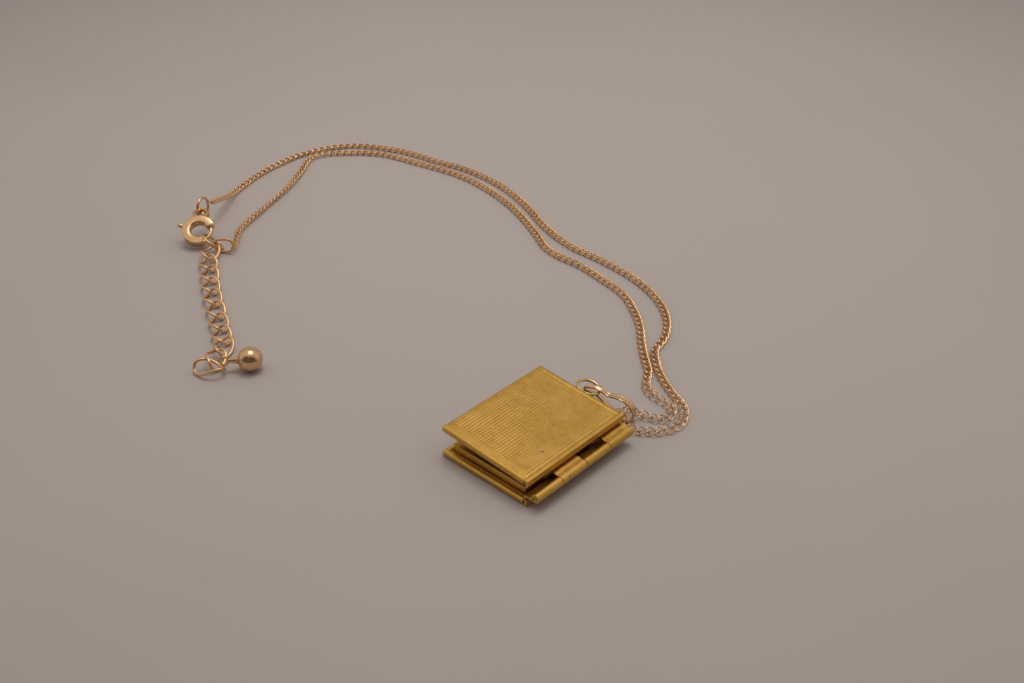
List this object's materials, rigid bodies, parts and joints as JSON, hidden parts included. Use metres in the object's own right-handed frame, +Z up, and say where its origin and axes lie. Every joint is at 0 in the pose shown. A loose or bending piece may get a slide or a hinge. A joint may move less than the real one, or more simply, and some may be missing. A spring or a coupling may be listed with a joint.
{
  "type": "book locket on a curb chain",
  "caption": "Book-shaped locket with hinged covers and inner picture frames, on a curb chain with spring-ring clasp and extension.",
  "frame": {"origin": "centre of the back cover's outer face, which lies on the table", "axes": "+X from the fore-edge to the spine, +Y from the tail to the head of the book, +Z up"},
  "size_m": [0.1277, 0.0902, 0.0075],
  "materials": {
    "locket_brass": "worn yellow brass, satin with polished high edges",
    "frame_brass": "plain brass, darker where it is shaded",
    "rose_gold": "polished rose-gold plating, darkened in the recesses"
  },
  "bodies": {
    "front_leaf": {"front_cover": "locket_brass", "front_frame": "frame_brass", "bail": "rose_gold", "chain": "rose_gold", "clasp_ring": "rose_gold", "jump_ring": "rose_gold", "end_ring": "rose_gold", "strand_ring": "rose_gold", "extension_chain": "rose_gold", "drop_ball": "rose_gold"},
    "back_leaf": {"back_cover": "locket_brass", "back_frame": "frame_brass", "hinge_pin": "locket_brass"},
    "bolt": {"clasp_bolt": "rose_gold"}
  },
  "joints": [
    {"name": "cover_hinge", "type": "hinge", "parent": "front_leaf", "child": "back_leaf", "pos_m": [0.01055, 0, 0.0024], "axis": [0, -1, 0], "range_deg": [-3.6, 176.4]},
    {"name": "bolt_travel", "type": "hinge", "parent": "front_leaf", "child": "bolt", "pos_m": [-0.0944, 0.003, 0.00295], "axis": [0.3651, -0.3526, 0.8616], "range_deg": [0, 60], "stiffness_Nm_per_rad": 0.0001, "springref_deg": -28.65}
  ]
}
